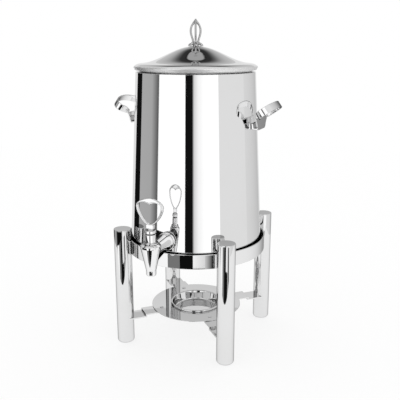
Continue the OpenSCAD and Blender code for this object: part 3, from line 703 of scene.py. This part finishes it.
leaf_top = curve((LEAF_TIP, 0.2), (LEAF_TIP, LEAF_H), (8.3, LEAF_H), (WAIST_R, WAIST_Z), LEAF_STEPS)
leaf_foot = curve((15.1, 0.03), (9, 0.03), (4, 0.6), (WAIST_R - RIB_T, WAIST_Z), LEAF_STEPS)
outer_line, inner_line = rib_line(FINIAL_H, 0.0), rib_line(FINIAL_H - 2 * RIB_T, RIB_T)

bm = bmesh.new()
rings = [set_ring(bm, i, o, wide) for i, o, wide in zip(leaf_foot, leaf_top, LEAF_WIDTHS)]
rings += [set_ring(bm, i, o, RIB_T) for i, o in zip(inner_line, outer_line)]
skin(bm, rings)
bmesh.ops.contextual_create(bm, geom=rings[0])
bmesh.ops.contextual_create(bm, geom=rings[-1])
four_times(bm)
hub = outline((0, HUB_LIFT), (HUB_R, HUB_LIFT), (HUB_R, HUB_H, 1.5), (0, HUB_H), closed=False)
lathe(bm, hub, 64, False)
place = Matrix.Translation((0, 0, FINIAL.low)) @ Matrix.Rotation(math.radians(FINIAL_TURN), 4, "Z")
bmesh.ops.transform(bm, matrix=place, verts=bm.verts)
put_away(bm, "finial_cage", "lid", mirror_finial, ["finial"])

# %% [markdown]
# ## The side handles
#
# Each handle is two bent strips: a bracket whose foot is turned in and welded to the tank,
# and a loop that rises from it at a slant for the fingers. A strip is drawn as one line of
# points, extruded across into a ribbon, and given its thickness by `solidify`. The loop's
# ends are cut off flat where they meet the bracket's plate.

# %% Handle loops
PLATE = measured("handle_bracket_right")
STRAP_T, STRAP_W = 2.6, 14.5
SLOPE = math.radians(36)
LOOP_ROOT = Vector((PLATE.r - STRAP_T / 2, 0, 492.6))
LOOP_WIDE, LOOP_OUT, LOOP_CENTRE, LOOP_FOOT = 47.5, 22.43, 19.07, 25.0
LOOP_TURN = math.acos(LOOP_FOOT / LOOP_WIDE)
SIDES = {"right": 0, "left": 180}


def strip(bm, points, across, thick):
    """A ribbon through the points, as wide as the across vector, thickened to its inner side."""
    verts = [bm.verts.new(p) for p in points]
    edges = [bm.edges.new(pair) for pair in zip(verts, verts[1:])]
    pushed = bmesh.ops.extrude_edge_only(bm, edges=edges)["geom"]
    push(bm, pushed, across)
    faces = [g for g in pushed if isinstance(g, bmesh.types.BMFace)]
    bmesh.ops.solidify(bm, geom=faces, thickness=thick)


def loop_points(steps=72):
    along = Vector((math.cos(SLOPE), 0, math.sin(SLOPE)))
    for i in range(steps + 1):
        a = -LOOP_TURN + (math.pi + 2 * LOOP_TURN) * i / steps
        reach = LOOP_CENTRE + LOOP_OUT * math.sin(a)
        yield LOOP_ROOT + along * reach + Vector((0, LOOP_WIDE * math.cos(a), 0))


for name, turn in SIDES.items():
    bm = bmesh.new()
    normal = Vector((-math.sin(SLOPE), 0, math.cos(SLOPE)))
    strip(bm, [p - normal * STRAP_W / 2 for p in loop_points()], normal * STRAP_W, STRAP_T)
    bmesh.ops.recalc_face_normals(bm, faces=bm.faces)
    broken_edges(bm, 0.9, 3)
    everything = bm.verts[:] + bm.edges[:] + bm.faces[:]
    cut = bmesh.ops.bisect_plane(
        bm, geom=everything, plane_co=(PLATE.r, 0, 0), plane_no=(1, 0, 0), clear_inner=True
    )
    rim = [g for g in cut["geom_cut"] if isinstance(g, bmesh.types.BMEdge)]
    bmesh.ops.holes_fill(bm, edges=rim, sides=0)
    swing(bm, turn)
    put_away(bm, f"grip_{name}", "urn", mirror_cast, [f"handle_loop_{name}"])

# %% Handle brackets
PLATE_IN = PLATE.r - STRAP_T
PLATE_TOP_HALF, PLATE_FOOT_HALF, PLATE_CORNER = 36.0, 26.0, 9.0
TAB_W, TAB_H, TAB_SWELL, TAB_LEAN = 34.0, 12.0, 1.6, 0.5


def plate_front():
    lower = PLATE.low + PLATE_CORNER
    half = PLATE_FOOT_HALF - PLATE_CORNER
    points = [(PLATE_TOP_HALF, PLATE.high), (-PLATE_TOP_HALF, PLATE.high)]
    for at, start in ((-half, 180), (half, 270)):
        points += [tuple(p) for p in arc((at, lower), PLATE_CORNER, PLATE_CORNER, start, start + 90, 8)]
    return points


def tab_side():
    """The foot of the bracket, turned in from the plate to the tank's slanting wall."""
    low, top, middle = PLATE.low, PLATE.low + TAB_H, PLATE_IN + STRAP_T / 2
    return [
        (middle, low), (middle, low + STRAP_T), (wall_at(low) + TAB_SWELL + STRAP_T, low + STRAP_T),
        (wall_at(top) + STRAP_T + TAB_LEAN, top), (wall_at(top), top), (wall_at(low), low),
    ]


for name, turn in SIDES.items():
    bm = bmesh.new()
    slab(bm, [(PLATE_IN, y, z) for y, z in plate_front()], (STRAP_T, 0, 0))
    bar(bm, tab_side(), TAB_W)
    broken_edges(bm, 0.6)
    swing(bm, turn)
    put_away(bm, f"bracket_{name}", "urn", mirror_cast, [f"handle_bracket_{name}"])

# %% [markdown]
# ## The tap
#
# The tap is cast and turned: a flange against the tank, a shank that flares like a
# trumpet, a conical spout with a straight tip, and a bonnet that holds the valve plug
# down. The flange is turned about a level line, so it is made upright and laid over.

# %% Spout, bonnet and flange
SPOUT_LOW = measured("tap_body").low
BONNET, GASKET_TOP = measured("tap_bonnet"), measured("bonnet_gasket").high
OUTLET_R, TIP_R, TIP_H = 6.5, 9.6, 10.0
BELT_R, BELT_LOW, BELT_HIGH = 19.59, 263.0, 267.0
SPOUT_TOP, PLUG_SEAT_Z = 270.0, 238.5
BORE_GAP, PLUG_R, STEM_R, BONNET_R = 0.05, 10.0, 5.0, 12.0
GLAND_R, GLAND_FOOT = 10.5, 2.0
TAP_Z, TAIL_BORE_R = 254.0, 8.55
FLANGE_R, FLANGE_BACK, FLANGE_FACE = measured("tap_flange").r, 142.12, 147.12
LAY_DOWN = Matrix.Translation((0, 0, TAP_Z)) @ Matrix.Rotation(math.radians(90), 4, "X")

cap_bore_r, plug_bore_r, stem_bore_r = (r + BORE_GAP for r in (BONNET_R, PLUG_R, STEM_R))
spout = outline(
    (OUTLET_R, SPOUT_LOW, 0.4), (TIP_R, SPOUT_LOW, 2.6), (TIP_R, SPOUT_LOW + TIP_H, 6),
    (BELT_R, BELT_LOW, 1), (BELT_R, BELT_HIGH, 1), (BONNET.r, SPOUT_TOP, 0.5),
    (cap_bore_r, SPOUT_TOP, 0.3), (cap_bore_r, BONNET.low),
    (plug_bore_r, BONNET.low), (plug_bore_r, PLUG_SEAT_Z), (OUTLET_R, PLUG_SEAT_Z),
)
put_away(turned(spout, 128), "tap_spout", "urn", mirror_tap, ["tap_body"], at_tap=True)

gland_z = GASKET_TOP + GLAND_FOOT
bonnet = outline(
    (stem_bore_r, BONNET.low), (BONNET_R, BONNET.low), (BONNET_R, GASKET_TOP),
    (BONNET.r, GASKET_TOP, 0.5), (BONNET.r, gland_z, 0.6),
    (GLAND_R, gland_z, 0.8), (GLAND_R, BONNET.high, 1.2), (stem_bore_r, BONNET.high, 0.3),
)
put_away(turned(bonnet, 96), "tap_gland", "urn", mirror_tap, ["tap_bonnet"], at_tap=True)

flange = outline(
    (TAIL_BORE_R, FLANGE_BACK), (FLANGE_R, FLANGE_BACK, 0.8), (FLANGE_R, FLANGE_FACE, 1.6),
    (TAIL_BORE_R, FLANGE_FACE),
)
bm = turned(flange, 96)
bmesh.ops.transform(bm, matrix=LAY_DOWN, verts=bm.verts)
put_away(bm, "tap_collar", "urn", mirror_tap, ["tap_flange"])

# %% [markdown]
# The shank is no plain trumpet: its underside drops towards the spout, as a casting's does
# where the coffee turns down. So it is built like a hull too, ring by ring. Each ring
# starts as a circle, and its lower points are pulled out to a second, lower circle that
# grows from nothing at the flare. A straight bore runs through it from end to end.

# %% The shank
SHANK_END, TAIL_END = 198.6, 121.8
FLARE_R, SHANK_R, TAIL_R, PORT_R = 17.0, 14.5, 8.5, 5.5
FLARE_Y = FLANGE_FACE + SHANK_R
WEB_FROM, WEB_DROP, WEB_R, WEB_SHARE = 160.0, 15.5, 10.0, 0.93
SHANK_SIDES = 96


def shank_ring(bm, radius, along):
    part = max(0.0, (along - WEB_FROM) / (SHANK_END - WEB_FROM))
    web_r = radius * WEB_SHARE
    low_r, drop = web_r + (WEB_R - web_r) * part, WEB_DROP * part
    made = bmesh.ops.create_circle(bm, segments=SHANK_SIDES, radius=1.0, cap_ends=False)["verts"]
    for v in made:
        way = v.co.xy
        upper, lower = way * radius, way * low_r + Vector((0, -drop))
        place = lower if lower.dot(way) > upper.dot(way) else upper
        v.co = (place.x, -along, TAP_Z + place.y)
    return made


def bore_ring(bm, along):
    """A plain ring of the bore, made where the web hasn't begun and moved to its place."""
    made = shank_ring(bm, PORT_R, WEB_FROM)
    bmesh.ops.translate(bm, vec=(0, WEB_FROM - along, 0), verts=made)
    return made


flare = curve((FLARE_R, FLANGE_FACE), (FLARE_R, FLARE_Y), (SHANK_R, FLARE_Y), (SHANK_R, SHANK_END), 32)
bm = bmesh.new()
profile = [Vector((TAIL_R, TAIL_END)), Vector((TAIL_R, FLANGE_FACE - 0.12))] + flare
rings = [edges_of(shank_ring(bm, p.x, p.y)) for p in profile]
skin(bm, rings)
bore = [edges_of(bore_ring(bm, along)) for along in (SHANK_END, TAIL_END)]
skin(bm, [rings[-1]] + bore + [rings[0]])
put_away(bm, "tap_shank", "urn", mirror_tap)

# %% [markdown]
# The key is a heart of flat band, open in the middle. Its outer and inner lines are drawn
# as halves and mirrored, and the rings are set between them. Below it are a small block
# and a turned hub that sits on the plug's stem.

# %% The heart-shaped key
KEY = measured("tap_key")
KEY_H, KEY_BAND, KEY_T = 53.0, 5.0, 7.0
KEY_Z = KEY.high - KEY_H
FOOT_BAND, TOP_BAND, TOP_DIP = 3.0, 13.0, 6.4
BLOCK_HALF, BLOCK_LOW, BLOCK_HIGH = 8.0, 299.0, 308.0
KEY_HUB_R, KEY_HUB_TOP, KEY_WAIST_R, STEM_TOP = 11.0, 297.0, 5.5, 295.2


def heart_half(w, foot, top, top_pull, dip, steps=24):
    """Right half, from the foot up the side and over to the middle of the top."""
    wide_at = KEY_H * 0.7
    side = curve((0, foot), (w * 0.42, foot + KEY_H * 0.02), (w, KEY_H * 0.42), (w, wide_at), steps)
    over = curve((w, wide_at), (w, KEY_H * 0.85), (w * top_pull, top + dip), (0, top), steps)
    return side + over[1:]


def whole(half):
    return half + [Vector((-p.x, p.y)) for p in half[-2:0:-1]]


outer_heart = whole(heart_half(KEY.r, 0, KEY_H, 0.4, 0))
inner_heart = whole(heart_half(KEY.r - KEY_BAND, FOOT_BAND, KEY_H - TOP_BAND, 0.42, TOP_DIP))
bm = bmesh.new()
rings = [set_ring(bm, i, o, KEY_T, 0.85) for i, o in zip(inner_heart, outer_heart)]
skin(bm, rings, closed=True)
bmesh.ops.translate(bm, vec=(0, 0, KEY_Z), verts=bm.verts)
heart_points = set(bm.verts)
block = [
    (-BLOCK_HALF, BLOCK_LOW), (BLOCK_HALF, BLOCK_LOW), (BLOCK_HALF, BLOCK_HIGH), (-BLOCK_HALF, BLOCK_HIGH),
]
bar(bm, block, KEY_T)
broken_edges(bm, 1.6, 3, [e for e in long_edges(bm) if not heart_points & set(e.verts)])
hub = outline(
    (0, STEM_TOP), (stem_bore_r, STEM_TOP), (stem_bore_r, KEY.low, 0.3), (KEY_HUB_R, KEY.low, 0.8),
    (KEY_HUB_R, KEY_HUB_TOP, 1.6), (KEY_WAIST_R, KEY_HUB_TOP, 0.5), (KEY_WAIST_R, BLOCK_LOW + 0.3),
    (0, BLOCK_LOW + 0.3), closed=False,
)
lathe(bm, hub, 64, False)
put_away(bm, "tap_heart", "valve", mirror_cast, ["tap_key"], at_tap=True)

# %% [markdown]
# ## The pieces that stay as measured
#
# Nuts, screws, seals, pads and the pan under the tank have the right shape already, so
# they only get their finish.

# %% Finishes on the measured pieces
STAYS = {
    satin_steel: ["urn_base", "leg_inserts", "ring_screws", "disc_rivets", "tap_lock_nut", "tap_plug",
                  "key_pin", "finial_screw"],
    foot_rubber: ["leg_feet"],
    seal_rubber: ["tap_outer_seal", "tap_inner_seal", "bonnet_gasket", "plug_o_rings", "finial_washer"],
}
for finish, names in STAYS.items():
    for name in names:
        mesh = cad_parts[name].data
        mesh.materials.clear()
        mesh.materials.append(finish)
    print(finish.name, "on", len(names), "pieces")

# %% [markdown]
# ## The studio
#
# Polished steel shows its surroundings and little else, so the studio is half of the
# picture. The floor and backdrop are white. Round the urn, out of the camera's sight,
# stand cards that only the steel's mirror rays can see: white flats, grey ones, black
# strips, and over the back a black screen with a grey window. A card is an upright edge
# spun through part of a circle, and each of its points carries the level it glows at.
#
# The cards above the table's edge make the bands on the tank. Those below it are seen by
# the ring, the legs and the disc, which mirror more of what lies low.

# %% Cards that only mirrors see
CAMERA_TURN = 24.07
CARD_R, FLAG_R = 3.0, 0.45
DEEP, TABLE, TALL, HIGH = -3.0, -0.75, 4.5, 6.0
LIGHT_FOOT = -0.94
BLACK, DARK, WHITE, BRIGHT = 0.006, 0.02, 1.15, 1.0
CARD_STEP = 3


def card_finish():
    finish = bpy.data.materials.new("studio_card")
    finish.use_nodes = True
    tree = finish.node_tree
    tree.nodes.clear()
    level = Wire(tree).node("ShaderNodeAttribute", {"attribute_name": "level"}, out=2)
    light = level.node("ShaderNodeEmission", {}, {"Color": level, "Strength": 1.0})
    out = tree.nodes.new("ShaderNodeOutputMaterial")
    tree.links.new(light.socket, out.inputs["Surface"])
    return finish


studio_card = card_finish()


def stand_mirror_only(mesh):
    made = bpy.data.objects.new(mesh.name, mesh)
    bpy.context.scene.collection.objects.link(made)
    made.visible_camera = False
    made.visible_diffuse = False
    made.visible_shadow = False
    made.visible_transmission = False


def card(name, start, end, low, high, level, end_level, radius=CARD_R):
    """An upright card from start to end, in degrees to the right of the camera as the urn sees it."""
    bm = bmesh.new()
    foot, head = bm.verts.new((0, -radius, low)), bm.verts.new((0, -radius, high))
    rail = bm.edges.new((foot, head))
    steps = max(2, int(abs(end - start) / CARD_STEP))
    swing(bm, CAMERA_TURN + start)
    bmesh.ops.spin(
        bm, geom=[foot, head, rail], cent=(0, 0, 0), axis=(0, 0, 1), dvec=(0, 0, 0),
        angle=math.radians(end - start), steps=steps,
    )
    bmesh.ops.translate(bm, vec=(0, axis_y, 0), verts=bm.verts)
    mesh = mesh_from(bm, name, studio_card)
    levels = mesh.attributes.new("level", "FLOAT", "POINT").data
    for i, entry in enumerate(levels):
        entry.value = level + (end_level - level) * (i // 2) / steps
    stand_mirror_only(mesh)


# Each card's name, its two ends in degrees, its foot and head in metres, and its level at each end
CARDS = (
    ("left_strip", -140, -117, DEEP, HIGH, BLACK, BLACK),
    ("left_grey", -117, -86, DEEP, HIGH, 0.44, 0.41),
    ("left_fade", -86, -70, DEEP, HIGH, 0.41, 0.09),
    ("left_white", -69, -18.5, TABLE, TALL, WHITE, WHITE),
    ("camera_gap", -18.5, -6, TABLE, TALL, BLACK, BLACK),
    ("gap_edge", -6, -3, TABLE, TALL, BLACK, 0.72),
    ("gap_rise", -3, 4, TABLE, TALL, 0.72, BRIGHT),
    ("gap_side", 4, 15, TABLE, TALL, BRIGHT, WHITE),
    ("right_white", 15, 41, TABLE, TALL, WHITE, WHITE),
    ("right_pale", 41, 98, DEEP, TALL, 0.80, 0.80),
    ("right_far", 98, 150, DEEP, TALL, 0.74, 0.66),
    ("low_back", 150, 220, DEEP, 1.5, 0.96, 0.96),
    ("low_white", -69, -46, DEEP, TABLE, WHITE, WHITE),
    ("low_grey", -46, -26, DEEP, TABLE, 0.21, 0.21),
    ("low_black", -26, -5, DEEP, TABLE, BLACK, BLACK),
    ("low_middle", -5, 14, DEEP, LIGHT_FOOT, BLACK, BLACK),
    ("low_light", -5, 14, LIGHT_FOOT, TABLE, 1.1, 0.85),
    ("low_fade", 14, 26, DEEP, TABLE, 0.70, DARK),
    ("low_right", 26, 32, DEEP, TABLE, DARK, DARK),
    ("low_right_white", 32, 41, DEEP, TABLE, WHITE, WHITE),
)
for plan in CARDS:
    card(*plan)
card("flag_by_the_tap", -70, -32, 0.13, 0.195, BLACK, BLACK, FLAG_R)
print("cards:", len(CARDS), "and a small black flag by the tap")

# %% [markdown]
# The lid mirrors a dark screen over the back with a grey window in it. Both are ovals with
# soft edges, so here the card is cut into a fine net and each point works out its own
# level from how far it lies from the middle of the oval.

# %% The screen over the back, for the lid
SCREEN_R, LID_HIGH = 2.9, 0.60
SCREEN_STEPS = 72
SCREEN_SPREAD, SCREEN_RISE, SCREEN_TALL = 120, 49, 58
OVAL_WIDE, OVAL_LOW, OVAL_MIDDLE = 25.6, 27.4, 61.0
OVAL_TOP, OVAL_FADE = 52.0, 2.0
SCREEN_LEVELS = (
    (0.0, 0.38), (0.54, 0.38), (0.58, 0.006), (0.64, 0.03), (0.80, 0.035), (0.93, 0.13), (1.04, 0.27),
    (1.15, 0.42), (1.32, 0.56), (1.5, 0.66), (1.9, 0.72),
)


def screen_level(place):
    azimuth = math.degrees(math.atan2(place.x, place.y)) + CAMERA_TURN
    elevation = math.degrees(math.atan2(place.z - LID_HIGH, place.xy.length))
    far = math.hypot(azimuth / OVAL_WIDE, min(0.0, elevation - OVAL_MIDDLE) / OVAL_LOW)
    far += max(0.0, elevation - OVAL_TOP) / OVAL_FADE
    for (near, level), (beyond, after) in zip(SCREEN_LEVELS, SCREEN_LEVELS[1:]):
        if far < beyond:
            return level + (after - level) * (far - near) / (beyond - near)
    return SCREEN_LEVELS[-1][1]


bm = bmesh.new()
bmesh.ops.create_grid(bm, x_segments=SCREEN_STEPS, y_segments=SCREEN_STEPS, size=0.5)
for v in bm.verts:
    turn = math.radians(180 + CAMERA_TURN + SCREEN_SPREAD * v.co.x)
    rise = math.radians(SCREEN_RISE + SCREEN_TALL * v.co.y)
    v.co = Vector((math.sin(turn), -math.cos(turn), math.tan(rise))) * SCREEN_R * math.cos(rise)
    v.co.z += LID_HIGH
mesh = mesh_from(bm, "screen", studio_card)
levels = mesh.attributes.new("level", "FLOAT", "POINT").data
for v, entry in zip(mesh.vertices, levels):
    entry.value = screen_level(v.co)
mesh.transform(Matrix.Translation((0, axis_y, 0)))
stand_mirror_only(mesh)
print("screen:", len(mesh.vertices), "points")

# %% [markdown]
# The floor is white paper that keeps a faint shadow of the urn. To the camera and in the
# steel it has to look white without more light on the urn, so part of it glows, but only
# for rays from the camera, a mirror or glass. A real urn stands on a table and mirrors
# what lies below its edge. So mirror rays pass through the floor where it would be past a
# round table with a straight front, and reach the cards that stand lower. Where a mirror
# ray meets no card, the world is a light grey, and it is white to everything else.

# %% Floor and world
TABLE_EDGE, EDGE_SLOPE, TABLE_R = -0.445, 0.14, 0.80
FLOOR_R = 2.6
PAPER_WHITE, MIRRORED_AIR = 0.75, 0.72


def paper_floor():
    finish, shader, wire = new_finish("paper_floor")
    place = wire.node("ShaderNodeTexCoord", out="Object")
    x, y = (wire.node("ShaderNodeSeparateXYZ", {}, {"Vector": place}, out=name) for name in "XY")
    past_edge = wire.maths("LESS_THAN", y - x * EDGE_SLOPE, TABLE_EDGE + axis_y)
    out_of_table = wire.maths("GREATER_THAN", x * x + (y - axis_y) * (y - axis_y), TABLE_R * TABLE_R)
    beyond = wire.maths("MAXIMUM", past_edge, out_of_table)
    rays = ("Is Camera Ray", "Is Glossy Ray", "Is Transmission Ray")
    seen, mirrored, through = (wire.node("ShaderNodeLightPath", out=name) for name in rays)
    grain = wire.node("ShaderNodeTexNoise", {}, {"Vector": place, "Scale": 400.0, "Detail": 2.0})
    colour = wire.node(
        "ShaderNodeMix", {"data_type": "RGBA"}, {"Factor": grain, 6: grey(1.0), 7: grey(0.985)}, out=2
    )
    shader.inputs["Roughness"].default_value = 1.0
    shader.inputs["Specular IOR Level"].default_value = 0.0
    plug(shader, Base_Color=colour)
    paper = wire.node("ShaderNodeEmission", {}, {"Color": grey(1.0), "Strength": 1.0})
    lit = wire.node(
        "ShaderNodeMixShader", {},
        {0: (seen + mirrored + through) * PAPER_WHITE, 1: Wire(wire.tree, shader.outputs[0]), 2: paper},
    )
    gone = wire.node("ShaderNodeBsdfTransparent")
    mixed = wire.node("ShaderNodeMixShader", {}, {0: beyond * mirrored, 1: lit, 2: gone})
    out = finish.node_tree.nodes["Material Output"]
    finish.node_tree.links.new(mixed.socket, out.inputs["Surface"])
    return finish


bm = bmesh.new()
bmesh.ops.create_circle(bm, segments=96, radius=FLOOR_R, cap_ends=True)
floor = bpy.data.objects.new("floor", mesh_from(bm, "floor", paper_floor()))
bpy.context.scene.collection.objects.link(floor)

world = bpy.data.worlds.new("studio")
bpy.context.scene.world = world
world.use_nodes = True
air = Wire(world.node_tree)
mirrored = air.node("ShaderNodeLightPath", out="Is Glossy Ray")
shade = air.node(
    "ShaderNodeMix", {"data_type": "RGBA"}, {"Factor": mirrored, 6: grey(1.0), 7: grey(MIRRORED_AIR)}, out=2
)
world.node_tree.links.new(shade.socket, world.node_tree.nodes["Background"].inputs["Color"])
bpy.context.scene.view_settings.view_transform = "Standard"

# %% [markdown]
# ## The camera
#
# It stands where the photographer stood: a little right of the tap, level with the
# lid, looking slightly down through a lens that sees about as the eye does.

# %% Camera
CAMERA_BACK, CAMERA_HIGH = 1.243, 0.639
PITCH, TOWARD = 0.264, 0.007
LENS, SENSOR = 53.4, 36.0
turn = math.radians(CAMERA_TURN)
camera = bpy.data.objects.new("camera", bpy.data.cameras.new("camera"))
bpy.context.scene.collection.objects.link(camera)
bpy.context.scene.camera = camera
camera.data.lens = LENS
camera.data.sensor_width = SENSOR
camera.location = (CAMERA_BACK * math.sin(turn), axis_y - CAMERA_BACK * math.cos(turn), CAMERA_HIGH)
heading = math.radians(90) + turn - TOWARD
level_way = Vector((math.cos(heading), math.sin(heading), 0))
look = level_way * math.cos(PITCH) - Vector((0, 0, math.sin(PITCH)))
camera.rotation_euler = look.to_track_quat("-Z", "Y").to_euler()
print("camera at", [round(c, 3) for c in camera.location])

# %% [markdown]
# ## Done
#
# The dressed model has to stay inside the measured one.
